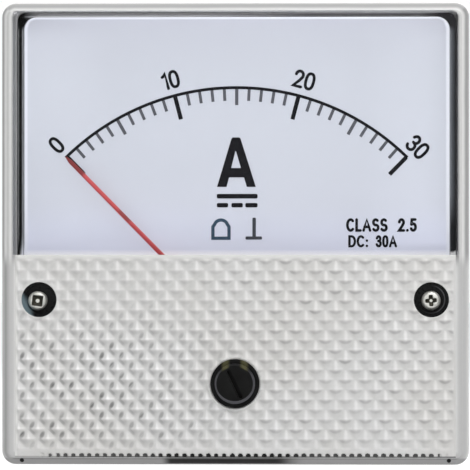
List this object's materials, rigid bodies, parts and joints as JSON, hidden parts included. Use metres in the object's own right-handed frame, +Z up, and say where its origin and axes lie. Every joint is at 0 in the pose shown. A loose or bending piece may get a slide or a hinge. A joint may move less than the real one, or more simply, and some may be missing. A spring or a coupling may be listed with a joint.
{
  "type": "analog panel meter",
  "caption": "Square-fronted moving-coil DC ammeter for a round panel cut-out, with a clear window over a quarter-circle scale, a textured lower front and a slotted zero adjuster.",
  "frame": {"origin": "centre of the round barrel where it leaves the flange, in the plane of the panel's front face", "axes": "+Z up, +X to the right seen from the front; the front faces -Y, and the barrel and terminals point along +Y"},
  "size_m": [0.08, 0.0627, 0.079],
  "materials": {
    "clear_cover": "gloss",
    "black_moulding": "satin",
    "black_knob": "satin",
    "dial_white": "satin",
    "pointer_red": "satin",
    "zinc_steel": "satin",
    "bright_steel": "satin",
    "spring_steel": "satin",
    "soft_iron": "satin",
    "magnet_alloy": "matte",
    "aluminium_parts": "satin",
    "brass_parts": "satin",
    "terminal_brass": "satin",
    "copper_wire": "gloss",
    "spring_bronze": "gloss",
    "shunt_alloy": "satin",
    "jewel_stone": "polished",
    "resistor_body": "satin",
    "wire_red": "satin",
    "wire_black": "satin"
  },
  "bodies": {
    "meter": {"front_cover": "clear_cover", "cover_screws": "zinc_steel", "base_case": "black_moulding", "mounting_studs": "zinc_steel", "dial_plate": "dial_white", "dial_screws": "zinc_steel", "rear_hairspring": "spring_bronze", "front_bridge": "brass_parts", "stop_pins": "bright_steel", "rear_bridge": "brass_parts", "rear_spring_post": "brass_parts", "front_jewel_screw": "brass_parts", "rear_jewel_screw": "brass_parts", "jewels": "jewel_stone", "lock_nuts": "brass_parts", "bridge_pillars": "brass_parts", "bridge_spacers": "brass_parts", "bridge_screws": "zinc_steel", "bridge_nuts": "zinc_steel", "magnet_core": "magnet_alloy", "return_ring": "soft_iron", "core_strap_front": "brass_parts", "core_strap_rear": "brass_parts", "core_rivet": "aluminium_parts", "strap_screws": "brass_parts", "ring_screws": "brass_parts", "movement_frame": "aluminium_parts", "movement_screws": "zinc_steel", "shunt_bar": "shunt_alloy", "terminal_studs": "terminal_brass", "case_washers": "terminal_brass", "case_nuts": "terminal_brass", "lug_washers": "terminal_brass", "spring_washers": "bright_steel", "lug_nuts": "terminal_brass", "swamping_resistor": "resistor_body", "lead_wire_front": "wire_red", "lead_wire_rear": "wire_black"},
    "moving_system": {"pointer": "pointer_red", "pointer_hub": "aluminium_parts", "balance_weights": "brass_parts", "coil_former": "aluminium_parts", "coil_winding": "copper_wire", "spindle_front": "bright_steel", "spindle_rear": "bright_steel"},
    "adjuster": {"zero_adjuster": "black_knob", "adjuster_clip": "spring_steel"},
    "corrector": {"zero_lever": "brass_parts", "front_hairspring": "spring_bronze"}
  },
  "joints": [
    {"name": "pointer_swing", "type": "hinge", "parent": "meter", "child": "moving_system", "pos_m": [0, -0.007, -0.0167], "axis": [0, 1, 0], "range_deg": [-2, 92], "stiffness_Nm_per_rad": 0.000012, "deforming": ["rear_hairspring", "front_hairspring"]},
    {"name": "zero_adjust", "type": "hinge", "parent": "meter", "child": "adjuster", "pos_m": [0, -0.013, -0.0256], "axis": [0, 1, 0], "range_deg": [-45, 45]},
    {"name": "zero_lever_turn", "type": "hinge", "parent": "meter", "child": "corrector", "pos_m": [0, -0.0099, -0.0167], "axis": [0, 1, 0], "range_deg": [-6.6, 6.6]}
  ],
  "couplings": [
    {"joint": "zero_lever_turn", "follows": "zero_adjust", "ratio": -0.142}
  ]
}
